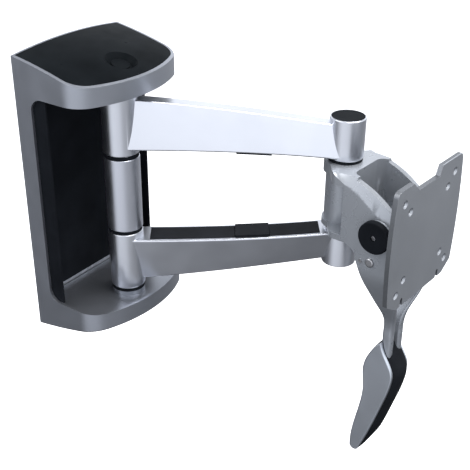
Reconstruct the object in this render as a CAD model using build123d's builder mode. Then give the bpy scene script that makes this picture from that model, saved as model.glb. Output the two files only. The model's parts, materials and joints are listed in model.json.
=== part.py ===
from build123d import *
from math import cos, degrees, radians, sin, sqrt
import os

# Full motion wall mount for a small television. Millimetres, +Z up. The wall is the plane Y = 0,
# the mount stands out towards -Y, and the origin is the middle of its wall face.

# ---------------------------------------------------------------- driving dimensions
# Wall housing
HOUSING_W = 150.0          # across the flanks
NOSE_Y = -101.0            # foremost point of the bowed nose
NOSE_R = 140.0             # radius of the bowed nose in plan
NOSE_CORNER_R = 28.0       # where the nose runs into the flanks
DOME_R = 568.0             # the two end faces are parts of this sphere
DOME_TOP = 155.4           # height of the dome over the middle of the wall face
DOME_TILT = 0.14           # its slope towards the nose at the wall
SKIN = 3.0                 # wall thickness of the housing
SKIRT_Z = 113.0            # lower edge of the top cap, and mirrored below
SHELF_Z = 119.0            # inside face of the two shelves that close the caps
STRIP_Y = -20.5            # front edge of the flank strips
OPENING_R = 14.0           # corners of the side opening
RIM_W = 3.2                # silver rim round the black lid
LID_T = 2.0

# Column on the wall and axis on the head
COLUMN_Y = -65.0           # column axis in front of the wall
ARM_LENGTH = 229.0         # column axis to head axis
ARM_ANGLE = 36.0           # arm in the resting pose, from straight out towards +X
HEAD_ANGLE = -4.0          # head in the resting pose, from straight out towards +X
TUBE_R = 18.5              # barrels and spacer
SHAFT_R = 8.0
BUSH_R = 10.2
RUN = 0.05                 # radial running clearance
FACE_GAP = 0.1             # between flat faces that turn on each other
COLUMN_BARREL = (44.4, 109.6)
HEAD_BARREL = (39.4, 83.0)
WASHER_R = 17.8

# Arms
ARM_INNER_HALF = 17.0      # half width along the edge that faces the other arm
ARM_OUTER_HALF = 8.0       # half width along the far edge
CHANNEL_HALF = 13.5        # cable channel in the inner face
CHANNEL = (26.0, 206.0)    # its ends along the arm
CHANNEL_DEPTH = 9.0
CLIP = (116.5, 152.5)      # raised cable clip along the arm
COVER_T = 2.4

# Head bracket
HUB_R = 19.0
HUB_HALF = 36.3            # half height of the hub
CHEEK_OUT = 38.0           # outer faces of the cheeks from the middle plane
CHEEK_IN = 27.0
WEB_HALF = 15.0            # half width of the web between hub and cheeks
WALL_T = 3.0               # wall between the cheeks
WALL_REACH = 12.0          # how far it fills their rear corners
SCOOP_R = 9.0
CHEEK_REAR = 23.5          # rear edge of the cheeks from the head axis
BEVEL_IN = 33.5            # upper edge of the bevel from the middle plane
TILT_F = 67.0              # tilt axis in front of the head axis
TILT_Z = -14.0
CHEEK_END_R = 23.5
TILT_BOLT_R = 5.0
LIMIT_R = 31.5             # limit screw from the tilt axis
LIMIT_ANGLE = 262.0        # direction of the limit screw from the tilt axis
TILT_RANGE = 15.0          # degrees each way
SLOT_HALF = 3.3            # half width of the limit slots
FRICTION_T = 0.7

# Screen plate and handle
PLATE_F = 94.0             # rear face of the plate from the head axis
PLATE_T = 5.0
PLATE_Z = -16.0            # centre of the hole pattern
SIDE_IN = 38.8             # inner faces of the side arms
SIDE_T = 3.5
KNOB_R = 17.3
KNOB_T = 6.4
GRIP_HALF = 18.0           # half width of the grip over its side shells
GRIP_SHELL = 3.0
PRONG = (5.0, 14.0)        # inner and outer face of each handle prong from the middle plane
PRONG_F = (69.5, 81.0)     # rear and front face of the prongs
PRONG_END_Z = -187.0


# ---------------------------------------------------------------- frames
def heading(angle):
    """Horizontal direction at an angle from straight out of the wall, positive towards +X."""
    return Vector(sin(radians(angle)), -cos(radians(angle)), 0)


def flat(origin, angle, height=0.0):
    """Horizontal plane whose x axis points along the heading."""
    return Plane(origin=(origin.X, origin.Y, height), x_dir=heading(angle), z_dir=(0, 0, 1))


def side(origin, angle, across=0.0):
    """Upright plane along the heading, x forward and y up, moved sideways by across."""
    sideways = heading(angle + 90)
    at = origin + sideways * across
    return Plane(origin=at, x_dir=heading(angle), z_dir=sideways * -1)


column = Vector(0, COLUMN_Y, 0)
head_axis = column + heading(ARM_ANGLE) * ARM_LENGTH

os.makedirs("parts", exist_ok=True)


def save(part, name):
    """Label a finished piece and write it to its own file."""
    part.label = name
    export_step(part, f"parts/{name}.step")


# ---------------------------------------------------------------- wall housing
def housing_plan(inset, back=0.0):
    """Closed D outline of the housing in plan, drawn inset from the outer one."""
    half = HOUSING_W / 2 - inset
    radius = NOSE_R - inset
    nose = NOSE_Y + inset
    corner = nose + radius - sqrt(radius**2 - half**2)
    with BuildSketch() as plan:
        with BuildLine():
            Polyline((-half, corner), (-half, back), (half, back), (half, corner))
            ThreePointArc((half, corner), (0, nose), (-half, corner))
        make_face()
        fillet(plan.vertices().group_by(Axis.Y)[0], NOSE_CORNER_R - inset)
    return plan.sketch


def dome_centre(sign):
    """Centre of the sphere that shapes the upper (+1) or lower (-1) end face."""
    back_by = DOME_R * DOME_TILT
    return (0, back_by, sign * (DOME_TOP - sqrt(DOME_R**2 - back_by**2)))


with BuildPart() as lid_pocket:
    with BuildSketch(Plane.XY.offset(SKIRT_Z)):
        add(housing_plan(RIM_W, back=-2.0))
    extrude(amount=60)
    with Locations(dome_centre(1)):
        Sphere(DOME_R + 5, mode=Mode.INTERSECT)
        Sphere(DOME_R - LID_T, mode=Mode.SUBTRACT)

def cap_room(sign):
    """Hollow inside the upper (+1) or lower (-1) cap of the housing."""
    with BuildPart() as room:
        with BuildSketch(Plane.XY.offset(sign * (SHELF_Z + SKIN))):
            add(housing_plan(SKIN, back=5.0))
        extrude(amount=sign * 60)
        with Locations(dome_centre(sign)):
            Sphere(DOME_R - LID_T - SKIN, mode=Mode.INTERSECT)
    return room.part


# round dish in the lid over the column, tilted with the dome
DISH_R = 16.7
DISH_DEPTH = 5.8
DISH_FLOOR_R = 11.5
DISH_FORWARD = 6.0            # from the column axis towards the nose
DISC_R = 9.5
DISC_T = 1.8
DISH_FIT = 0.15               # gap between the dish and its hole in the housing
dish_y = COLUMN_Y - DISH_FORWARD
dome_y = dish_y - dome_centre(1)[1]
dome_z = sqrt(DOME_R**2 - dome_y**2)
dish_floor = Plane((0, dish_y, dome_centre(1)[2] + dome_z), x_dir=(1, 0, 0), z_dir=(0, dome_y, dome_z))
dish_floor = dish_floor.offset(-DISH_DEPTH)


def dish(grow, ceiling):
    """Tapered bowl widened by grow and closed above by a dome of radius ceiling."""
    with BuildPart() as bowl:
        with BuildSketch(dish_floor.offset(-grow)):
            Circle(DISH_FLOOR_R + grow)
        with BuildSketch(dish_floor.offset(DISH_DEPTH)):
            Circle(DISH_R + grow)
        loft()
        with BuildSketch(dish_floor.offset(DISH_DEPTH)):
            Circle(DISH_R + grow)
        extrude(amount=DISH_DEPTH)
        with Locations(dome_centre(1)):
            Sphere(ceiling, mode=Mode.INTERSECT)
    return bowl.part


with BuildPart() as housing:
    with BuildSketch(Plane.XY.offset(-160)):
        add(housing_plan(0))
    extrude(amount=320)
    for sign in (1, -1):
        with Locations(dome_centre(sign)):
            Sphere(DOME_R, mode=Mode.INTERSECT)
    end_edges = housing.edges().filter_by_position(Axis.Z, -160, -100)
    end_edges = end_edges.filter_by(GeomType.LINE, reverse=True)
    fillet(end_edges.filter_by(lambda e: e.center().Y < -5), 2.0)
    # room between the shelves, open to the wall
    with BuildSketch(Plane.XY.offset(-SHELF_Z)):
        add(housing_plan(SKIN, back=5.0))
    extrude(amount=2 * SHELF_Z, mode=Mode.SUBTRACT)
    # side opening, seen from the side as a rounded slot that runs out at the nose
    with BuildSketch(Plane.YZ):
        with Locations((STRIP_Y - 100, 0)):
            RectangleRounded(200, 2 * SKIRT_Z, OPENING_R)
    extrude(amount=HOUSING_W, both=True, mode=Mode.SUBTRACT)
    # hollow caps behind the shelves, open to the wall
    for sign in (1, -1):
        add(cap_room(sign), mode=Mode.SUBTRACT)
    add(lid_pocket.part, mode=Mode.SUBTRACT)
    add(dish(LID_T + DISH_FIT, DOME_R + DISH_DEPTH), mode=Mode.SUBTRACT)
    # bosses that carry the outer washers, and the shaft holes
    for sign in (1, -1):
        with Locations((0, COLUMN_Y, sign * (SHELF_Z + COLUMN_BARREL[1] + 3.9) / 2)):
            Cylinder(TUBE_R - 1, SHELF_Z - COLUMN_BARREL[1] - 3.9)
    with Locations((0, COLUMN_Y, 0)):
        Cylinder(SHAFT_R, 260, mode=Mode.SUBTRACT)
    # slots in the shelves for the wall plate
    with Locations((0, 0, 0)):
        Box(128, 8, 280, mode=Mode.SUBTRACT)
save(housing.part, "housing_cover")

with BuildPart() as top_lid:
    with BuildSketch(Plane.XY.offset(SKIRT_Z)):
        add(housing_plan(RIM_W + 0.15, back=-2.15))
    extrude(amount=60)
    with Locations(dome_centre(1)):
        Sphere(DOME_R, mode=Mode.INTERSECT)
        Sphere(DOME_R - LID_T, mode=Mode.SUBTRACT)
    add(dish(LID_T, DOME_R))
    add(dish(0, DOME_R + DISH_DEPTH), mode=Mode.SUBTRACT)
save(top_lid.part, "top_lid")

with BuildPart() as column_cap:
    with BuildSketch(dish_floor):
        Circle(DISC_R)
    extrude(amount=DISC_T)
    fillet(column_cap.faces().sort_by(Axis.Z)[-1].edges(), 0.7)
save(column_cap.part, "column_cap")

LINER_BACK_Y = -25.0
LINER_FRONT_Y = -37.0
LINER_T = 2.0
LINER_HALF_H = 112.5
liner_half = HOUSING_W / 2 - SKIN - 0.1
with BuildPart() as back_liner:
    with BuildSketch(Plane.XY.offset(-LINER_HALF_H)):
        with Locations((0, (LINER_FRONT_Y - 4) / 2)):
            Rectangle(2 * liner_half, -LINER_FRONT_Y - 4)
        with Locations((0, (LINER_FRONT_Y + LINER_BACK_Y) / 2)):
            Rectangle(2 * (liner_half - LINER_T), LINER_BACK_Y - LINER_FRONT_Y, mode=Mode.SUBTRACT)
        with Locations((0, (LINER_BACK_Y - LINER_T - 4) / 2)):
            Rectangle(2 * (liner_half - LINER_T), -LINER_BACK_Y - LINER_T - 4, mode=Mode.SUBTRACT)
    extrude(amount=2 * LINER_HALF_H)
save(back_liner.part, "back_liner")

PLATE_HALF_W = 62.0
PLATE_HALF_H = 128.0
WALL_PLATE_T = 3.0
LUG_Z = SHELF_Z + SKIN + 0.3
LUG_T = 5.0
WALL_SCREW_DX = 80.0
WALL_SCREW_DZ = 180.0
with BuildPart() as wall_plate:
    with BuildSketch(Plane.XZ):
        RectangleRounded(2 * PLATE_HALF_W, 2 * PLATE_HALF_H, 5)
        with GridLocations(WALL_SCREW_DX, WALL_SCREW_DZ, 2, 2):
            Circle(3.5, mode=Mode.SUBTRACT)
    extrude(amount=WALL_PLATE_T)
    for sign in (1, -1):
        with BuildSketch(Plane.XY.offset(sign * LUG_Z)):
            with Locations((0, COLUMN_Y)):
                Circle(17)
            with BuildLine():
                Polyline((-32, -1), (32, -1), (17, COLUMN_Y), (-17, COLUMN_Y), (-32, -1))
            make_face()
        extrude(amount=sign * LUG_T)
    with Locations((0, COLUMN_Y, 0)):
        Cylinder(SHAFT_R, 300, mode=Mode.SUBTRACT)
save(wall_plate.part, "wall_plate")

COLUMN_NUT_T = 3.4            # thin nuts, so that the dish in the lid clears them
SHAFT_END = LUG_Z + LUG_T + COLUMN_NUT_T + 0.6
with BuildPart() as column_shaft:
    with Locations((0, COLUMN_Y, 0)):
        Cylinder(SHAFT_R, 2 * SHAFT_END)
    chamfer(column_shaft.edges().filter_by(GeomType.CIRCLE), 0.8)
save(column_shaft.part, "column_shaft")

with BuildPart() as column_nuts:
    for sign in (1, -1):
        with BuildSketch(Plane.XY.offset(sign * (LUG_Z + LUG_T))):
            with Locations((0, COLUMN_Y)):
                RegularPolygon(12, 6, major_radius=False)
                Circle(SHAFT_R, mode=Mode.SUBTRACT)
        extrude(amount=sign * COLUMN_NUT_T)
save(column_nuts.part, "column_nuts")

with BuildPart() as spacer_tube:
    with BuildSketch(Plane((0, COLUMN_Y, -COLUMN_BARREL[0] + 4.1))):
        Circle(TUBE_R)
        Circle(SHAFT_R, mode=Mode.SUBTRACT)
    extrude(amount=2 * COLUMN_BARREL[0] - 8.2)
    outer_rims = spacer_tube.edges().filter_by(GeomType.CIRCLE).filter_by(lambda e: e.radius > 15)
    fillet(outer_rims, 0.8)
save(spacer_tube.part, "spacer_tube")


def ring(centre, ends, outer, inner):
    """Flat ring round an upright axis, between two heights."""
    low, high = sorted(ends)
    with BuildPart() as flat_ring:
        with BuildSketch(Plane((centre.X, centre.Y, low))):
            Circle(outer)
            Circle(inner, mode=Mode.SUBTRACT)
        extrude(amount=high - low)
    return flat_ring.part


with BuildPart() as column_washers:
    for sign in (1, -1):
        inner_ends = (sign * (COLUMN_BARREL[0] - 4.1), sign * (COLUMN_BARREL[0] - FACE_GAP))
        outer_ends = (sign * (COLUMN_BARREL[1] + FACE_GAP), sign * (COLUMN_BARREL[1] + 3.9))
        for ends in (inner_ends, outer_ends):
            add(ring(column, ends, WASHER_R, SHAFT_R))
save(column_washers.part, "column_washers")

# ---------------------------------------------------------------- arms
def arm_inner(along):
    """Height of the arm's inner edge above the middle plane, curving down towards the head."""
    return 51.0 - 9.0 * (along / 216.0)**2.4


def arm_outer(along):
    """Height of the arm's outer edge above the middle plane."""
    return 102.5 - 25.3 * (along / 208.0)**1.3


ARM_STATIONS = (0.0, 55.0, 115.0, 175.0, ARM_LENGTH)


def arm_section(along):
    """Trapezoid across the arm: wide on the inner edge, narrow on the outer one."""
    low = arm_inner(along)
    high = arm_outer(along)
    at = column + heading(ARM_ANGLE) * along
    across = Plane(origin=at, x_dir=heading(ARM_ANGLE + 90), z_dir=heading(ARM_ANGLE))
    with BuildSketch(across) as section:
        with BuildLine():
            Polyline(
                (-ARM_INNER_HALF, low), (ARM_INNER_HALF, low),
                (ARM_OUTER_HALF, high), (-ARM_OUTER_HALF, high), (-ARM_INNER_HALF, low),
            )
        make_face()
        fillet(section.vertices(), 1.6)
    return section.sketch


with BuildPart() as upper_arm:
    for station in ARM_STATIONS:
        add(arm_section(station))
    loft()
    for centre, (low, high) in ((column, COLUMN_BARREL), (head_axis, HEAD_BARREL)):
        with BuildSketch(flat(centre, ARM_ANGLE, low)):
            Circle(TUBE_R)
        extrude(amount=high - low)
    barrel_rims = upper_arm.edges().filter_by(GeomType.CIRCLE)
    barrel_rims = barrel_rims.filter_by(lambda e: abs(e.radius - TUBE_R) < 0.01 and e.length > 100)
    fillet(barrel_rims, 1.2)
    # cable channel, open towards the other arm
    with BuildSketch(side(column, ARM_ANGLE)):
        with BuildLine():
            inner_edge = [(x, arm_inner(x) + CHANNEL_DEPTH) for x in (CHANNEL[0], 116, CHANNEL[1])]
            Spline(inner_edge)
            Polyline(inner_edge[-1], (CHANNEL[1], 30), (CHANNEL[0], 30), inner_edge[0])
        make_face()
    extrude(amount=CHANNEL_HALF, both=True, mode=Mode.SUBTRACT)
    # bores: bushes on the column, shaft held tight at the head
    with Locations((column.X, column.Y, 77)):
        Cylinder(BUSH_R, 80, mode=Mode.SUBTRACT)
    with Locations((head_axis.X, head_axis.Y, 40)):
        Cylinder(SHAFT_R, 80, mode=Mode.SUBTRACT)
    with Locations((head_axis.X, head_axis.Y, HEAD_BARREL[1])):
        Cylinder(TUBE_R - 1.3, 2 * 3.0, mode=Mode.SUBTRACT)
save(upper_arm.part, "upper_arm")

with BuildPart() as lower_arm:
    add(upper_arm.part)
    mirror(about=Plane.XY, mode=Mode.REPLACE)
save(lower_arm.part, "lower_arm")


def cover_strip(start, end, rise):
    """Strip that closes the cable channel between two places along the arm."""
    places = [start + (end - start) * step / 2 for step in range(3)]
    face = [(x, arm_inner(x) - rise) for x in places]
    back = [(x, arm_inner(x) + COVER_T) for x in places]
    with BuildPart() as strip:
        with BuildSketch(side(column, ARM_ANGLE)):
            with BuildLine():
                Spline(face)
                Line(face[-1], back[-1])
                Spline(back)
                Line(back[0], face[0])
            make_face()
        extrude(amount=CHANNEL_HALF - 0.2, both=True)
    return strip.part


COVERS = {
    "cable_cover_wall": (CHANNEL[0] + 0.2, CLIP[0] - 0.3, 0.4),
    "cable_clip": (CLIP[0], CLIP[1], 2.4),
    "cable_cover_head": (CLIP[1] + 0.3, CHANNEL[1] - 0.2, 0.4),
}
for cover_name, (start, end, rise) in COVERS.items():
    upper_strip = cover_strip(start, end, rise)
    save(upper_strip, f"upper_{cover_name}")
    save(upper_strip.mirror(Plane.XY), f"lower_{cover_name}")

with BuildPart() as column_bushes:
    for sign in (1, -1):
        for low, high in ((COLUMN_BARREL[0], 60.0), (94.0, COLUMN_BARREL[1])):
            add(ring(column, (sign * low, sign * high), BUSH_R, SHAFT_R + RUN))
save(column_bushes.part, "column_bushes")

HEAD_SHAFT_END = HEAD_BARREL[1] - 3.2
with BuildPart() as head_shaft:
    with Locations((head_axis.X, head_axis.Y, 0)):
        Cylinder(SHAFT_R, 2 * HEAD_SHAFT_END)
save(head_shaft.part, "head_shaft")

with BuildPart() as head_end_caps:
    for sign in (1, -1):
        with BuildSketch(flat(head_axis, 0, sign * (HEAD_BARREL[1] - 3.0))):
            Circle(TUBE_R - 1.4)
        extrude(amount=sign * 2.4)
    chamfer(head_end_caps.edges().filter_by(lambda e: abs(e.center().Z) > HEAD_BARREL[1] - 1), 0.5)
save(head_end_caps.part, "head_end_caps")

# ---------------------------------------------------------------- head bracket
limit_f = TILT_F + LIMIT_R * cos(radians(LIMIT_ANGLE))
limit_z = TILT_Z + LIMIT_R * sin(radians(LIMIT_ANGLE))

# Bevel along the top of each cheek: distance from the head axis, height of its lower edge on the
# outer face, and height of its upper edge.
BEVEL_STATIONS = (
    (6.0, 37.6, 38.2),
    (12.0, 34.3, 36.8),
    (22.0, 28.7, 35.8),
    (32.0, 24.2, 33.4),
    (44.0, 17.4, 29.4),
    (54.0, 10.7, 24.4),
    (66.0, 1.9, 16.0),
    (76.0, -9.4, 8.4),
    (84.0, -20.0, -1.0),
    (92.0, -33.0, -13.0),
)


def deck_flare(rim):
    """Plan of a deck: it flares from the hub rim out to the cheeks."""
    with BuildSketch() as flare:
        with BuildLine():
            Polyline(
                (-4, -rim + 0.5), (CHEEK_REAR - 14, -CHEEK_OUT), (CHEEK_REAR + 1, -CHEEK_OUT),
                (CHEEK_REAR + 1, CHEEK_OUT), (CHEEK_REAR - 14, CHEEK_OUT), (-4, rim - 0.5),
                (-4, -rim + 0.5),
            )
        make_face()
        shoulders = flare.vertices().filter_by(lambda v: abs(v.X - (CHEEK_REAR - 14)) < 0.1)
        fillet(shoulders, 9)
    return flare.sketch


def bevel_cutter(sign):
    """Solid that lies above the bevel on one side."""
    middle = (BEVEL_IN + CHEEK_OUT) / 2
    reach = CHEEK_OUT - BEVEL_IN
    with BuildPart() as cutter:
        for forward, low, high in BEVEL_STATIONS:
            at = head_axis + heading(HEAD_ANGLE) * forward
            with BuildSketch(Plane(origin=at, x_dir=heading(HEAD_ANGLE + 90), z_dir=heading(HEAD_ANGLE))):
                mid_z = (low + high) / 2
                drop = high - low
                Polygon(
                    (sign * (middle - reach), mid_z + drop), (sign * (middle + reach), mid_z - drop),
                    (sign * (middle + reach), mid_z + 40), (sign * (middle - reach), mid_z + 40),
                    align=None,
                )
        loft()
    return cutter.part


with BuildPart() as head_bracket:
    with BuildSketch(flat(head_axis, HEAD_ANGLE, -HUB_HALF)):
        Circle(HUB_R)
    extrude(amount=2 * HUB_HALF)
    # upper and lower decks reach from the hub out to the cheeks
    for low, high, rim in ((24.0, HUB_HALF, 21.9), (-HUB_HALF, -30.0, 21.0)):
        with BuildSketch(flat(head_axis, HEAD_ANGLE, low)):
            add(deck_flare(rim))
            Circle(rim)
        extrude(amount=high - low)
    # web from the hub to the cheeks, and the wall between them
    with BuildSketch(flat(head_axis, HEAD_ANGLE, -HUB_HALF)):
        with Locations(((CHEEK_REAR + 1) / 2, 0)):
            Rectangle(CHEEK_REAR + 1, 2 * WEB_HALF)
        with Locations((CHEEK_REAR + WALL_REACH / 2, 0)):
            Rectangle(WALL_REACH, 2 * CHEEK_OUT - 1)
    extrude(amount=2 * HUB_HALF)
    # two cheeks
    with BuildSketch(side(head_axis, HEAD_ANGLE, -CHEEK_OUT)):
        with BuildLine():
            Line((CHEEK_REAR, HUB_HALF), (CHEEK_REAR, -HUB_HALF + 3))
            Polyline((CHEEK_REAR, -HUB_HALF + 3), (38, -40), (50, -54), (74, -54))
            ThreePointArc((74, -54), (TILT_F + CHEEK_END_R, TILT_Z - 8), (TILT_F + 11, 7.6))
            ThreePointArc((TILT_F + 11, 7.6), (54, 25.2), (CHEEK_REAR, HUB_HALF))
        make_face()
    extrude(amount=-2 * CHEEK_OUT)
    for sign in (1, -1):
        add(bevel_cutter(sign), mode=Mode.SUBTRACT)
    # scoop between the cheeks, with round corners against the hub wall
    with BuildSketch(flat(head_axis, HEAD_ANGLE, -80)) as scoop:
        with Locations((CHEEK_REAR + WALL_T + 60, 0)):
            Rectangle(120, 2 * CHEEK_IN)
        fillet(scoop.vertices(), SCOOP_R)
    extrude(amount=160, mode=Mode.SUBTRACT)
    # shaft bore, tilt bolt holes and limit slots
    with Locations((head_axis.X, head_axis.Y, 0)):
        Cylinder(BUSH_R, 2 * HUB_HALF + 2, mode=Mode.SUBTRACT)
    with BuildSketch(side(head_axis, HEAD_ANGLE, -CHEEK_OUT - 5)):
        with Locations((TILT_F, TILT_Z)):
            Circle(TILT_BOLT_R)
        with BuildLine():
            start = LIMIT_ANGLE - TILT_RANGE - 1
            sweep_by = 2 * TILT_RANGE + 2
            far_side = CenterArc((TILT_F, TILT_Z), LIMIT_R + SLOT_HALF, start, sweep_by)
            near_side = CenterArc((TILT_F, TILT_Z), LIMIT_R - SLOT_HALF, start, sweep_by)
            end_turn = degrees(SLOT_HALF / LIMIT_R)
            for place, angle in ((0, start - end_turn), (1, start + sweep_by + end_turn)):
                tip = Vector(TILT_F, TILT_Z) + Vector(LIMIT_R, 0).rotate(Axis.Z, angle)
                ThreePointArc(far_side @ place, tip, near_side @ place)
        make_face()
    extrude(amount=-2 * CHEEK_OUT - 10, mode=Mode.SUBTRACT)
save(head_bracket.part, "head_bracket")

with BuildPart() as hub_bushes:
    for sign in (1, -1):
        add(ring(head_axis, (sign * 20.0, sign * HUB_HALF), BUSH_R, SHAFT_R + RUN))
save(hub_bushes.part, "hub_bushes")

with BuildPart() as head_washers:
    for sign in (1, -1):
        ends = (sign * (HUB_HALF + 0.05), sign * (HEAD_BARREL[0] - FACE_GAP))
        add(ring(head_axis, ends, WASHER_R, SHAFT_R + RUN))
save(head_washers.part, "head_washers")


def across_axis(offset):
    """Upright plane at right angles to the tilt axis, centred on it."""
    plane = side(head_axis, HEAD_ANGLE, offset)
    return Plane(origin=plane.origin + heading(HEAD_ANGLE) * TILT_F + Vector(0, 0, TILT_Z),
                 x_dir=plane.x_dir, z_dir=plane.z_dir)


BOLT_END = SIDE_IN + SIDE_T + KNOB_T - 2.0
with BuildPart() as tilt_bolt:
    with BuildSketch(across_axis(BOLT_END)):
        Circle(TILT_BOLT_R)
    extrude(amount=2 * BOLT_END)
    with BuildSketch(across_axis(-BOLT_END)):
        RegularPolygon(2.5, 6, major_radius=False)
    extrude(amount=-3.5, mode=Mode.SUBTRACT)
save(tilt_bolt.part, "tilt_bolt")

with BuildPart() as friction_washers:
    for sign in (1, -1):
        near, far = CHEEK_OUT + 0.05, CHEEK_OUT + FRICTION_T
        with BuildSketch(across_axis(sign * near)):
            Circle(13)
            Circle(TILT_BOLT_R, mode=Mode.SUBTRACT)
        extrude(amount=-sign * (far - near))
save(friction_washers.part, "friction_washers")

knob_face = SIDE_IN + SIDE_T + FACE_GAP
with BuildPart() as tilt_knob:
    with BuildSketch(across_axis(-knob_face)):
        Circle(KNOB_R)
        Circle(TILT_BOLT_R + RUN, mode=Mode.SUBTRACT)
    extrude(amount=KNOB_T)
    with BuildSketch(across_axis(-BOLT_END - 0.3)):
        Circle(TILT_BOLT_R + 1)
        Circle(2.9, mode=Mode.SUBTRACT)
    extrude(amount=1.7)
    knob_rims = tilt_knob.edges().filter_by(GeomType.CIRCLE).filter_by(lambda e: e.radius > 17)
    fillet(knob_rims.sort_by(Axis.X)[:1], 1.6)
save(tilt_knob.part, "tilt_knob")

with BuildPart() as tilt_end_cap:
    with BuildSketch(across_axis(knob_face)):
        Circle(KNOB_R)
    extrude(amount=-KNOB_T)
    with BuildSketch(across_axis(knob_face)):
        Circle(TILT_BOLT_R)
    extrude(amount=-(BOLT_END - knob_face), mode=Mode.SUBTRACT)
save(tilt_end_cap.part, "tilt_end_cap")

# ---------------------------------------------------------------- screen plate
PLATE_TOP = 66.5           # ears above the pattern centre
PLATE_LOW = -68.0
NOTCH = ((-36.0, -24.5), (21.0, 16.0))  # left and right side of the notch, each at its top and foot
NOTCH_Z = 56.0
SLOT_U = 37.0
VESA_LARGE = 100.0
VESA_SMALL = 75.0
SCREW_HOLE_R = 2.6
SINK_R = 4.4

plate_front = head_axis + heading(HEAD_ANGLE) * (PLATE_F + PLATE_T) + Vector(0, 0, PLATE_Z)
plate_plane = Plane(origin=plate_front, x_dir=heading(HEAD_ANGLE + 90), z_dir=heading(HEAD_ANGLE))
with BuildPart() as screen_plate:
    with BuildSketch(plate_plane) as plate_outline:
        with BuildLine():
            ThreePointArc((64.5, PLATE_TOP), (68.8, -8), (65.5, -57))
            Polyline((65.5, -57), (48, PLATE_LOW), (-48, PLATE_LOW), (-65.5, -57))
            ThreePointArc((-65.5, -57), (-68.8, -8), (-64.5, PLATE_TOP))
            Polyline((-64.5, PLATE_TOP), (NOTCH[0][0], PLATE_TOP), (NOTCH[0][1], NOTCH_Z),
                     (NOTCH[1][1], NOTCH_Z), (NOTCH[1][0], PLATE_TOP), (64.5, PLATE_TOP))
        make_face()
        fillet(plate_outline.vertices().group_by(Axis.Y)[-1].sort_by(Axis.X)[::3], 7)
        fillet(plate_outline.vertices().group_by(Axis.Y)[0], 6)
        for u in (-SLOT_U, SLOT_U):
            with Locations((u, PLATE_LOW)):
                SlotOverall(18, 4.6, rotation=90, mode=Mode.SUBTRACT)
    extrude(amount=-PLATE_T)
    edges_front = screen_plate.faces().sort_by(Axis.Y)[0].outer_wire().edges()
    chamfer(edges_front, 0.6)
    for spacing in (VESA_LARGE, VESA_SMALL):
        with Locations(plate_plane):
            with GridLocations(spacing, spacing, 2, 2):
                CounterSinkHole(SCREW_HOLE_R, SINK_R, depth=PLATE_T)
save(screen_plate.part, "screen_plate")

# Side arms: an ear on the tilt axis, then a strap that runs down, closes in and ends as a prong.
# Each station is height, rear, front, inner face and outer face from the middle plane.
STRAP = (
    (-46.0, 44.2, 93.0, SIDE_IN, SIDE_IN + SIDE_T),
    (-52.0, 46.6, 93.0, SIDE_IN, SIDE_IN + SIDE_T),
    (-62.0, 50.8, 93.0, 38.3, 41.9),
    (-72.0, 55.2, 92.6, 36.0, 39.9),
    (-84.0, 60.4, 91.6, 31.2, 35.6),
    (-98.0, 65.6, 89.6, 24.0, 29.6),
    (-112.0, 69.0, 85.6, 14.6, 21.8),
    (-124.0, 69.8, 82.4, 7.6, 16.0),
    (-136.0, PRONG_F[0], PRONG_F[1], PRONG[0], PRONG[1]),
    (-148.0, PRONG_F[0], PRONG_F[1], PRONG[0], PRONG[1]),
)


STRAP_ROUND = 0.36         # corner radius as a share of the strap's thickness


def strap_section(height, rear, front, inner, outer):
    """Rounded rectangle across the strap at one height, on the +X side."""
    with BuildSketch(flat(head_axis, HEAD_ANGLE, height)) as section:
        with Locations(((rear + front) / 2, (inner + outer) / 2)):
            Rectangle(front - rear, outer - inner)
        fillet(section.vertices(), STRAP_ROUND * (outer - inner))
    return section.sketch


with BuildPart() as side_arm:
    for station in STRAP:
        add(strap_section(*station))
    loft()
    with BuildSketch(flat(head_axis, HEAD_ANGLE, STRAP[-1][0])):
        with Locations(((PRONG_F[0] + PRONG_F[1]) / 2, (PRONG[0] + PRONG[1]) / 2)):
            prong_round = STRAP_ROUND * (PRONG[1] - PRONG[0])
            RectangleRounded(PRONG_F[1] - PRONG_F[0], PRONG[1] - PRONG[0], prong_round)
    extrude(amount=PRONG_END_Z - STRAP[-1][0])
    with BuildSketch(side(head_axis, HEAD_ANGLE, SIDE_IN)):
        with Locations((TILT_F, TILT_Z)):
            Circle(16.2)
        with BuildLine():
            Polyline((TILT_F - 16.2, TILT_Z), (TILT_F + 16.2, TILT_Z), (PLATE_F, TILT_Z - 4),
                     (PLATE_F, STRAP[0][0]), (STRAP[0][1], STRAP[0][0]), (TILT_F - 16.2, TILT_Z))
        make_face()
    extrude(amount=-SIDE_T)
    # foot welded to the back of the screen plate
    with BuildSketch(Plane(origin=plate_front - heading(HEAD_ANGLE) * PLATE_T,
                           x_dir=heading(HEAD_ANGLE + 90), z_dir=heading(HEAD_ANGLE))):
        with Locations(((SIDE_IN + 60) / 2, -16)):
            Rectangle(60 - SIDE_IN, 60)
    extrude(amount=-3)
    with BuildSketch(across_axis(0)):
        Circle(TILT_BOLT_R + RUN)
    extrude(amount=-60, mode=Mode.SUBTRACT)
    with BuildSketch(side(head_axis, HEAD_ANGLE, 0)):
        with Locations((limit_f, limit_z)):
            Circle(3.0)
    extrude(amount=-60, mode=Mode.SUBTRACT)
middle_plane = Plane(origin=head_axis, x_dir=heading(HEAD_ANGLE), z_dir=heading(HEAD_ANGLE + 90))
save(side_arm.part, "side_arm_right")
save(side_arm.part.mirror(middle_plane), "side_arm_left")

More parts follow.
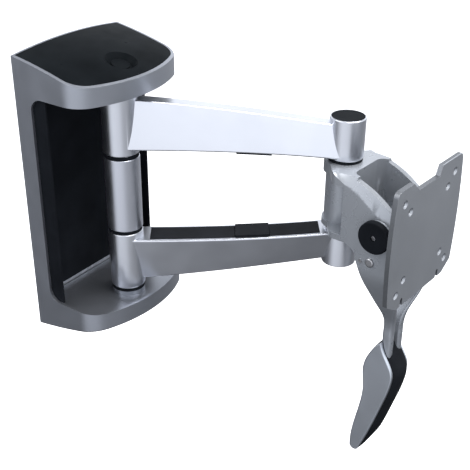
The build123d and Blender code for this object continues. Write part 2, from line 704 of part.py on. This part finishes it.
with BuildPart() as limit_screws:
    for sign in (1, -1):
        with BuildSketch(side(head_axis, HEAD_ANGLE, sign * 30.0)):
            with Locations((limit_f, limit_z)):
                Circle(3.0)
        extrude(amount=-sign * (SIDE_IN + SIDE_T - 30.0))
        with BuildSketch(side(head_axis, HEAD_ANGLE, sign * (SIDE_IN + SIDE_T))):
            with Locations((limit_f, limit_z)):
                Circle(5.0)
        extrude(amount=-sign * 2.2)
    heads = limit_screws.edges().filter_by(GeomType.CIRCLE).filter_by(lambda e: e.radius > 4)
    outermost = heads.filter_by(lambda e: abs((e.center() - head_axis).dot(heading(HEAD_ANGLE + 90))) > 44)
    fillet(outermost, 1.6)
save(limit_screws.part, "limit_screws")

with BuildPart() as side_rivets:
    for sign in (1, -1):
        with BuildSketch(side(head_axis, HEAD_ANGLE, sign * (SIDE_IN + SIDE_T))):
            with Locations((51.7, -47.0)):
                Circle(2.2)
        extrude(amount=-sign * 1.0)
save(side_rivets.part, "side_rivets")


# ---------------------------------------------------------------- grip
def grip_outline():
    """Leaf shaped side view of the grip, drawn in the head's own upright plane."""
    with BuildSketch() as outline:
        with BuildLine():
            Spline((72, -152), (58, -172), (52, -194), (54, -216), (52.5, -240), (47, -270), (43.7, -306))
            ThreePointArc((43.7, -306), (48, -312), (55, -309))
            Spline((55, -309), (70, -266), (79, -236), (87.5, -203), (88, -188), (80, -172), (72, -152))
        make_face()
    return outline.sketch


core_half = GRIP_HALF - GRIP_SHELL
with BuildPart() as grip_core:
    with BuildSketch(side(head_axis, HEAD_ANGLE, core_half)):
        add(grip_outline())
    extrude(amount=2 * core_half)
    for sign in (1, -1):
        with BuildSketch(flat(head_axis, HEAD_ANGLE, PRONG_END_Z)):
            with Locations(((PRONG_F[0] + PRONG_F[1]) / 2, sign * (PRONG[0] + PRONG[1]) / 2)):
                Rectangle(PRONG_F[1] - PRONG_F[0] + 0.6, PRONG[1] - PRONG[0] + 0.6)
        extrude(amount=80, mode=Mode.SUBTRACT)
save(grip_core.part, "grip_core")

for shell_name, sign in (("grip_shell_left", -1), ("grip_shell_right", 1)):
    with BuildPart() as grip_shell:
        with BuildSketch(side(head_axis, HEAD_ANGLE, sign * core_half)):
            add(grip_outline())
        extrude(amount=-sign * GRIP_SHELL)
        outer_face = grip_shell.faces().filter_by(
            lambda f: abs((f.center() - head_axis).dot(heading(HEAD_ANGLE + 90)) - sign * GRIP_HALF) < 0.01
        )
        fillet(outer_face.edges(), 1.5)
    save(grip_shell.part, shell_name)
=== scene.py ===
import bmesh
import bpy
import json
from math import cos, pi, radians, sin
from mathutils import Matrix, Vector


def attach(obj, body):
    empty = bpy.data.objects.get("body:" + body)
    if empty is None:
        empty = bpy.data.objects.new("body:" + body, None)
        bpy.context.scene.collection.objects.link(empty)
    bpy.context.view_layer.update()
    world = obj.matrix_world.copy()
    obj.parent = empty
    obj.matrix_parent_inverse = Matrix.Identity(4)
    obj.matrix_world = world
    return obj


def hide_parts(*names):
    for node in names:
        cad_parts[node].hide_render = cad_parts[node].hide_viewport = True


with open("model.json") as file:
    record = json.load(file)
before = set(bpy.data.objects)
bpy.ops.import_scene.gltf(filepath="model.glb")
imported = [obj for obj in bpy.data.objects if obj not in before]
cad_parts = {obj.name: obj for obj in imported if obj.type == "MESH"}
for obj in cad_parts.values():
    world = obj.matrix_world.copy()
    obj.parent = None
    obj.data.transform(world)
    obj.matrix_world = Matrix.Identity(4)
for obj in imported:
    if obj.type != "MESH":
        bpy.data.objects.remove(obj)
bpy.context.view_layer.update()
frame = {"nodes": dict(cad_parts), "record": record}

# ------------------------------------------------------------ materials
SILVER_FLAKE = (0.93, 0.94, 0.96)
FLAKE_SHARE = 0.07            # most that a flake adds to the silver
BLACK_IOR = 1.32


class Nodes:
    """Small helper that adds nodes to one material and links them."""

    def __init__(self, name):
        self.material = bpy.data.materials.new(name)
        self.material.use_nodes = True
        self.tree = self.material.node_tree
        self.shader = self.tree.nodes["Principled BSDF"]
        self.where = self.add("ShaderNodeTexCoord").outputs["Object"]

    def add(self, kind, **settings):
        node = self.tree.nodes.new(kind)
        for key, value in settings.items():
            setattr(node, key, value)
        return node

    def link(self, source, target):
        self.tree.links.new(source, target)

    def noise(self, scale, detail=4.0, roughness=0.55, stretch=(1, 1, 1)):
        """Noise with scale cells to the metre, stretched along an axis if wanted."""
        mapping = self.add("ShaderNodeMapping")
        mapping.inputs["Scale"].default_value = stretch
        self.link(self.where, mapping.inputs["Vector"])
        node = self.add("ShaderNodeTexNoise")
        node.inputs["Scale"].default_value = scale
        node.inputs["Detail"].default_value = detail
        node.inputs["Roughness"].default_value = roughness
        self.link(mapping.outputs["Vector"], node.inputs["Vector"])
        return node.outputs["Fac"]

    def cells(self, scale):
        node = self.add("ShaderNodeTexVoronoi")
        node.inputs["Scale"].default_value = scale
        self.link(self.where, node.inputs["Vector"])
        return node.outputs["Distance"]

    def spread(self, value, low, high, start=0.3, end=0.7):
        """Value mapped from start..end to low..high."""
        node = self.add("ShaderNodeMapRange")
        for key, number in (("From Min", start), ("From Max", end), ("To Min", low), ("To Max", high)):
            node.inputs[key].default_value = number
        self.link(value, node.inputs["Value"])
        return node.outputs["Result"]

    def blend(self, factor, first, second):
        """Colour between two colours, or between a socket and a colour."""
        node = self.add("ShaderNodeMix", data_type="RGBA")
        self.link(factor, node.inputs["Factor"])
        for socket, value in ((node.inputs[6], first), (node.inputs[7], second)):
            if isinstance(value, tuple):
                socket.default_value = (*value, 1)
            else:
                self.link(value, socket)
        return node.outputs[2]

    def bumps(self, *layers):
        """Stack of bump layers, each a height, a strength and a depth in metres."""
        normal = None
        for height, strength, depth in layers:
            node = self.add("ShaderNodeBump")
            node.inputs["Strength"].default_value = strength
            node.inputs["Distance"].default_value = depth
            self.link(height, node.inputs["Height"])
            if normal:
                self.link(normal, node.inputs["Normal"])
            normal = node.outputs["Normal"]
        self.link(normal, self.shader.inputs["Normal"])

    def colour(self, socket):
        self.link(socket, self.shader.inputs["Base Color"])

    def roughness(self, socket):
        self.link(socket, self.shader.inputs["Roughness"])


def silver(name, dark, light, rough, metallic):
    """Satin silver finish on a casting, moulding or tube."""
    nodes = Nodes(name)
    nodes.shader.inputs["Metallic"].default_value = metallic
    speck = nodes.noise(2600.0, 2.0)
    base = nodes.blend(nodes.spread(nodes.noise(9.0, 3.0), 0, 1), dark, light)
    flakes = nodes.blend(nodes.spread(speck, 0, FLAKE_SHARE, 0.45, 0.75), base, SILVER_FLAKE)
    nodes.colour(flakes)
    nodes.roughness(nodes.spread(nodes.noise(38.0, 5.0), rough - 0.03, rough + 0.04))
    nodes.bumps((nodes.noise(45.0, 2.0), 0.02, 0.0003), (speck, 0.025, 0.00002))
    return nodes.material


def black(name, shade, rough, grain, depth, gloss):
    """Black plastic with a fine grain and uneven gloss."""
    nodes = Nodes(name)
    lighter = tuple(value * 1.7 + 0.001 for value in shade)
    nodes.colour(nodes.blend(nodes.spread(nodes.noise(24.0, 5.0), 0, 1), shade, lighter))
    nodes.roughness(nodes.spread(nodes.noise(60.0, 6.0, 0.65), rough - 0.07, rough + 0.07))
    nodes.bumps((nodes.noise(120.0, 2.0), 0.04, 0.0004), (nodes.cells(grain), 0.4, depth))
    nodes.shader.inputs["Specular IOR Level"].default_value = gloss
    nodes.shader.inputs["IOR"].default_value = BLACK_IOR
    return nodes.material


def turned_steel(name, stretch):
    """Machined steel with fine tool marks along one direction."""
    nodes = Nodes(name)
    nodes.shader.inputs["Metallic"].default_value = 1.0
    lines = nodes.noise(900.0, 3.0, 0.6, stretch)
    nodes.colour(nodes.blend(nodes.spread(lines, 0, 1), (0.36, 0.36, 0.37), (0.58, 0.58, 0.60)))
    nodes.roughness(nodes.spread(nodes.noise(70.0, 4.0), 0.24, 0.38))
    nodes.bumps((lines, 0.25, 0.00004))
    return nodes.material


def zinc(name):
    """Zinc plated sheet with a faint crystal pattern."""
    nodes = Nodes(name)
    nodes.shader.inputs["Metallic"].default_value = 0.9
    flakes = nodes.add("ShaderNodeTexVoronoi")
    flakes.inputs["Scale"].default_value = 220.0
    nodes.link(nodes.where, flakes.inputs["Vector"])
    tone = nodes.add("ShaderNodeSeparateColor")
    nodes.link(flakes.outputs["Color"], tone.inputs["Color"])
    nodes.colour(nodes.blend(tone.outputs["Red"], (0.42, 0.43, 0.45), (0.60, 0.61, 0.63)))
    nodes.roughness(nodes.spread(tone.outputs["Green"], 0.32, 0.5, 0, 1))
    nodes.bumps((nodes.noise(500.0, 3.0), 0.2, 0.00006))
    return nodes.material


def nylon(name):
    """Uncoloured nylon that lets a little light in."""
    nodes = Nodes(name)
    nodes.colour(nodes.blend(nodes.noise(80.0), (0.62, 0.60, 0.54), (0.74, 0.72, 0.66)))
    nodes.roughness(nodes.spread(nodes.noise(200.0), 0.42, 0.55))
    nodes.bumps((nodes.noise(700.0), 0.2, 0.00005))
    nodes.shader.inputs["Subsurface Weight"].default_value = 0.1
    nodes.shader.inputs["Subsurface Scale"].default_value = 0.002
    return nodes.material


MATERIALS = {
    "housing_silver": silver("satin_moulding", (0.36, 0.38, 0.42), (0.41, 0.43, 0.48), 0.33, 0.9),
    "spacer_silver": silver("satin_tube", (0.60, 0.62, 0.68), (0.66, 0.68, 0.74), 0.33, 1.0),
    "arm_silver": silver("satin_arm_casting", (0.66, 0.68, 0.73), (0.72, 0.74, 0.79), 0.31, 1.0),
    "bracket_silver": silver(
        "satin_bracket_casting", (0.31, 0.33, 0.36), (0.36, 0.38, 0.41), 0.28, 0.50
    ),
    "plate_silver": silver("satin_plate", (0.40, 0.42, 0.45), (0.45, 0.47, 0.50), 0.38, 0.8),
    "grip_silver": silver("satin_grip_shell", (0.64, 0.68, 0.74), (0.70, 0.74, 0.80), 0.30, 0.95),
    # painted shade: darker silver for the plate's cut edges, standing in for their shadow
    "cut_edge": silver("plate_edge_painted_shade", (0.16, 0.17, 0.18), (0.22, 0.23, 0.25), 0.42, 0.9),
    "black_gloss": black("black_gloss_plastic", (0.004, 0.005, 0.006), 0.34, 1500.0, 0.00002, 0.025),
    "black_matt": black("black_matt_plastic", (0.006, 0.007, 0.009), 0.50, 900.0, 0.00005, 0.07),
    "black_cover": black("black_satin_cover", (0.007, 0.008, 0.010), 0.40, 1200.0, 0.00003, 0.06),
    "rubber": black("black_soft_rubber", (0.009, 0.010, 0.012), 0.45, 1100.0, 0.00005, 0.05),
    "zinc_steel": zinc("zinc_plated_sheet"),
    "steel": turned_steel("turned_steel", (0.05, 0.05, 1.0)),
    "nylon": nylon("natural_nylon"),
}

for part in frame["record"]["subparts"]:
    mesh = frame["nodes"][part["node"]].data
    mesh.materials.clear()
    mesh.materials.append(MATERIALS[part["material_slot"]])


# ------------------------------------------------------------ pieces with softened edges
JOIN_WITHIN = 2e-6            # metres
FLAT_ANGLE = radians(0.3)     # facets closer than this to one plane become one
SHARP_ANGLE = radians(30)     # edges sharper than this are bevelled
ROUND_STEPS = 3


def material_slot(node):
    return next(part["material_slot"] for part in frame["record"]["subparts"] if part["node"] == node)


def stand_for(piece, node):
    """The piece is shown in place of the node, on its body and with its finish."""
    if not piece.data.materials:
        piece.data.materials.append(MATERIALS[material_slot(node)])
    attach(piece, BODY_OF[node])
    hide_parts(node)
    return piece


def new_piece(name, mesh):
    piece = bpy.data.objects.new(name, mesh)
    bpy.context.scene.collection.objects.link(piece)
    return piece


def softened(node, width):
    """Copy of a CAD node with a bevel asked for on its sharp edges. It stands for the node.

    With the clamp on, only the cable pieces get the full width. The others move 0.04 mm or less.
    """
    mesh = frame["nodes"][node].data.copy()
    if "custom_normal" in mesh.attributes:
        mesh.attributes.remove(mesh.attributes["custom_normal"])
    shape = bmesh.new()
    shape.from_mesh(mesh)
    bmesh.ops.remove_doubles(shape, verts=shape.verts, dist=JOIN_WITHIN)
    bmesh.ops.dissolve_limit(
        shape, angle_limit=FLAT_ANGLE, verts=shape.verts, edges=shape.edges, delimit={"NORMAL"}
    )
    shape.to_mesh(mesh)
    shape.free()
    mesh.shade_smooth()
    piece = new_piece(f"{node}_finished", mesh)
    rounding = piece.modifiers.new("rounding", "BEVEL")
    rounding.width = width
    rounding.segments = ROUND_STEPS
    rounding.limit_method = "ANGLE"
    rounding.angle_limit = SHARP_ANGLE
    rounding.use_clamp_overlap = True
    rounding.miter_outer = "MITER_ARC"
    even = piece.modifiers.new("even_shading", "WEIGHTED_NORMAL")
    even.keep_sharp = True
    even.weight = 90
    bpy.context.view_layer.update()
    made = bpy.data.meshes.new_from_object(piece.evaluated_get(bpy.context.evaluated_depsgraph_get()))
    piece.modifiers.clear()
    piece.data = made
    return stand_for(piece, node)


HEAD_ANGLE = radians(-4)      # bearing of the head at rest, 0 straight out from the wall
FORWARD = Vector((sin(HEAD_ANGLE), -cos(HEAD_ANGLE), 0))
SIDEWAYS = Vector((cos(HEAD_ANGLE), sin(HEAD_ANGLE), 0))
BODIES = frame["record"]["behaviour"]["bodies"]
BODY_OF = {node: body for body, nodes in BODIES.items() for node in nodes}
plate_depths = [v.co.dot(FORWARD) for v in frame["nodes"]["screen_plate"].data.vertices]
plate_middle = (min(plate_depths) + max(plate_depths)) / 2
# Bevel width asked for on each piece, in metres, before the clamp.
SOFT_EDGES = {
    "head_bracket": 0.0007,
    "housing_cover": 0.0006,
    "side_arm_left": 0.0008,
    "side_arm_right": 0.0008,
    "screen_plate": 0.0004,
    "upper_arm": 0.0004,
    "lower_arm": 0.0004,
    "upper_cable_clip": 0.0004,
    "lower_cable_clip": 0.0004,
    "upper_cable_cover_wall": 0.0004,
    "lower_cable_cover_wall": 0.0004,
    "upper_cable_cover_head": 0.0004,
    "lower_cable_cover_head": 0.0004,
}
finished = {node: softened(node, width) for node, width in SOFT_EDGES.items()}

# The plate's cut edges get a darker silver: painted shade, standing in for the shadow on the plate's
# edge strip.
EDGE_TURN = 0.4               # a cut edge's normal has less than this along FORWARD
EDGE_HALF = 0.0019            # and its middle is this near the plate's middle, in metres
plate_mesh = finished["screen_plate"].data
plate_mesh.materials.append(MATERIALS["cut_edge"])
for face in plate_mesh.polygons:
    off_middle = abs(face.center.dot(FORWARD) - plate_middle)
    if abs(face.normal.dot(FORWARD)) < EDGE_TURN and off_middle < EDGE_HALF:
        face.material_index = 1


# ------------------------------------------------------------ crowned rubber core of the handle
FRONT_CROWN = 0.0055
BACK_CROWN = 0.0020
CROWN_POWER = 2.4             # higher is flatter across the middle
CROWN_FADE = 4.5              # how fast the bulge grows from both ends
CROWN_AT_END = 0.12
CORE_STATIONS = 60
CORE_STEPS = 18


def grip_core():
    """Core between the side shells, bulging a little beyond them in front and behind."""
    node = "grip_core"
    points = [v.co.copy() for v in frame["nodes"][node].data.vertices]
    lateral = [p.dot(SIDEWAYS) for p in points]
    middle = (min(lateral) + max(lateral)) / 2
    half = (max(lateral) - min(lateral)) / 2
    one_side = [p for p, place in zip(points, lateral) if place < middle - half + 1e-5]
    rim = sorted({(round(p.z, 5), round(p.dot(FORWARD), 5)) for p in one_side})
    top, foot = rim[-1], rim[0]

    def split_side(sign):
        """Outline in front of (+1) or behind (-1) the line from the foot to the top."""
        chosen = [foot]
        for z, f in rim[1:-1]:
            share = (z - foot[0]) / (top[0] - foot[0])
            if sign * (f - (foot[1] + share * (top[1] - foot[1]))) > 0:
                chosen.append((z, f))
        return chosen + [top]

    def at_height(line, z):
        """How far forward the outline is at height z."""
        for (z0, f0), (z1, f1) in zip(line, line[1:]):
            if z0 <= z <= z1:
                return f0 + (f1 - f0) * (z - z0) / max(z1 - z0, 1e-9)
        return line[-1][1]

    front, behind = split_side(1), split_side(-1)
    shape = bmesh.new()
    rings = []
    for number in range(CORE_STATIONS + 1):
        share = (1 - cos(pi * number / CORE_STATIONS)) / 2
        z = foot[0] + (top[0] - foot[0]) * share
        fade = min(1.0, CROWN_FADE * min(share, 1 - share) + CROWN_AT_END)
        ring = []
        for sign, line, crown in ((1, front, FRONT_CROWN), (-1, behind, -BACK_CROWN)):
            for step in range(CORE_STEPS + 1):
                sideways = sign * (2 * step / CORE_STEPS - 1)
                bulge = crown * fade * (1 - abs(sideways)**CROWN_POWER)
                place = SIDEWAYS * (middle + sideways * half) + FORWARD * (at_height(line, z) + bulge)
                ring.append(shape.verts.new((place.x, place.y, z)))
        rings.append(ring)
    for lower, upper in zip(rings, rings[1:]):
        for here in range(len(lower)):
            there = (here + 1) % len(lower)
            shape.faces.new((lower[here], lower[there], upper[there], upper[here]))
    shape.faces.new(list(reversed(rings[0])))
    shape.faces.new(rings[-1])
    bmesh.ops.remove_doubles(shape, verts=shape.verts, dist=1e-6)
    bmesh.ops.recalc_face_normals(shape, faces=shape.faces)
    mesh = bpy.data.meshes.new("grip_core_crowned")
    shape.to_mesh(mesh)
    shape.free()
    mesh.shade_smooth()
    mesh.set_sharp_from_angle(angle=radians(50))
    return stand_for(new_piece("grip_core_crowned", mesh), node)


grip_core()


# ------------------------------------------------------------ stage, light and camera
def area_light(name, position, target, size, power):
    """White soft box of the given size in metres and power in watts, aimed at the target."""
    light = bpy.data.lights.new(name, "AREA")
    light.shape = "RECTANGLE"
    light.size, light.size_y = size
    light.energy = power
    lamp = bpy.data.objects.new(name, light)
    bpy.context.scene.collection.objects.link(lamp)
    lamp.location = position
    lamp.rotation_euler = (Vector(target) - Vector(position)).to_track_quat("-Z", "Y").to_euler()


FLOOR_Z = -0.75
FLOOR_SIZE = 30
FLOOR_GLOW = 0.75
bpy.ops.mesh.primitive_plane_add(size=FLOOR_SIZE, location=(0, 0, FLOOR_Z))
floor = bpy.context.object
floor.name = "floor"
floor_nodes = Nodes("pale_floor")
floor_nodes.colour(floor_nodes.blend(floor_nodes.noise(3.0), (0.93, 0.93, 0.93), (0.96, 0.96, 0.96)))
floor_nodes.shader.inputs["Roughness"].default_value = 0.9
floor_nodes.shader.inputs["Emission Color"].default_value = (1, 1, 1, 1)
floor_nodes.shader.inputs["Emission Strength"].default_value = FLOOR_GLOW
floor.data.materials.append(floor_nodes.material)
floor.visible_glossy = False
floor.visible_diffuse = False
floor.visible_shadow = False

# Studio surroundings: brightness by elevation, times brightness by bearing below LOW_TO_HIGH.
HEIGHTS = (
    (-90, 0.10), (-50, 0.22), (-40, 0.35), (-25, 0.9), (-10, 1.0),
    (0, 1.35), (22, 1.55), (38, 0.4), (90, 0.6),
)
ROUND = (
    (-180, 0.1), (-135, 0.2), (-95, 1.1), (-60, 1.0),
    (-20, 0.5), (45, 0.25), (100, 0.45), (180, 0.1),
)
LOW_TO_HIGH = (-15, 12)       # elevations in degrees over which the bearing stops counting
SKY_TINT = (0.955, 0.985, 1.05, 1)
BACKDROP = 1.1                # white that the camera sees behind the mount
world = bpy.data.worlds.new("studio")
bpy.context.scene.world = world
world.use_nodes = True
tree = world.node_tree
sky = tree.nodes["Background"]


def world_math(operation, *values):
    """Result of a maths node whose inputs are numbers or sockets."""
    node = tree.nodes.new("ShaderNodeMath")
    node.operation = operation
    for socket, value in zip(node.inputs, values):
        if isinstance(value, (int, float)):
            socket.default_value = value
        else:
            tree.links.new(value, socket)
    return node.outputs[0]


def world_ramp(value, stops, reach):
    """Brightness looked up by an angle in radians between -reach and reach degrees."""
    place = tree.nodes.new("ShaderNodeMapRange")
    place.inputs["From Min"].default_value = -radians(reach)
    place.inputs["From Max"].default_value = radians(reach)
    tree.links.new(value, place.inputs["Value"])
    ramp = tree.nodes.new("ShaderNodeValToRGB")
    ramp.color_ramp.interpolation = "EASE"
    while len(ramp.color_ramp.elements) < len(stops):
        ramp.color_ramp.elements.new(0.5)
    for element, (angle, level_here) in zip(ramp.color_ramp.elements, stops):
        element.position = (angle + reach) / (2 * reach)
        element.color = (level_here, level_here, level_here, 1)
    tree.links.new(place.outputs["Result"], ramp.inputs["Fac"])
    return ramp.outputs["Color"]


direction = tree.nodes.new("ShaderNodeTexCoord")
split = tree.nodes.new("ShaderNodeSeparateXYZ")
tree.links.new(direction.outputs["Generated"], split.inputs["Vector"])
across, inward, upward = split.outputs
bearing = world_math("ARCTAN2", across, world_math("MULTIPLY", inward, -1))
height = world_math("ARCSINE", upward)
low_share = tree.nodes.new("ShaderNodeMapRange")
for key, degrees_up in zip(("From Min", "From Max"), LOW_TO_HIGH):
    low_share.inputs[key].default_value = radians(degrees_up)
tree.links.new(height, low_share.inputs["Value"])
even = tree.nodes.new("ShaderNodeMix")
tree.links.new(low_share.outputs["Result"], even.inputs["Factor"])
tree.links.new(world_ramp(bearing, ROUND, 180), even.inputs["A"])
even.inputs["B"].default_value = 1.0
brightness = world_math("MULTIPLY", even.outputs["Result"], world_ramp(height, HEIGHTS, 90))
sky.inputs["Color"].default_value = SKY_TINT
tree.links.new(brightness, sky.inputs["Strength"])
seen = tree.nodes.new("ShaderNodeBackground")
seen.inputs["Color"].default_value = (1, 1, 1, 1)
seen.inputs["Strength"].default_value = BACKDROP
path = tree.nodes.new("ShaderNodeLightPath")
either = tree.nodes.new("ShaderNodeMixShader")
tree.links.new(path.outputs["Is Camera Ray"], either.inputs[0])
tree.links.new(sky.outputs[0], either.inputs[1])
tree.links.new(seen.outputs[0], either.inputs[2])
tree.links.new(either.outputs[0], tree.nodes["World Output"].inputs["Surface"])

MIDDLE = (0.03, -0.2, 0)
area_light("left_above", (-1.03, 0.7, 1.44), MIDDLE, (1.3, 0.8), 13)
area_light("overhead", (0.25, -0.75, 1.5), MIDDLE, (1.4, 1.0), 38)


CAMERA_AT = (-0.62887, -0.64431, 0.40655)
AZIMUTH, ELEVATION, ROLL = radians(-55.17), radians(28.42), radians(0.573)
back = Vector((sin(AZIMUTH) * cos(ELEVATION), -cos(AZIMUTH) * cos(ELEVATION), sin(ELEVATION)))
level = Vector((cos(AZIMUTH), sin(AZIMUTH), 0))
upright = back.cross(level)
right = level * cos(ROLL) + upright * sin(ROLL)
up = upright * cos(ROLL) - level * sin(ROLL)
lens = bpy.data.cameras.new("camera")
lens.sensor_width = 36
lens.lens = 68.99
lens.clip_start = 0.01
camera = bpy.data.objects.new("camera", lens)
bpy.context.scene.collection.objects.link(camera)
camera.matrix_world = Matrix.Translation(CAMERA_AT) @ Matrix((right, up, back)).transposed().to_4x4()
bpy.context.scene.camera = camera
bpy.context.scene.view_settings.view_transform = "Standard"
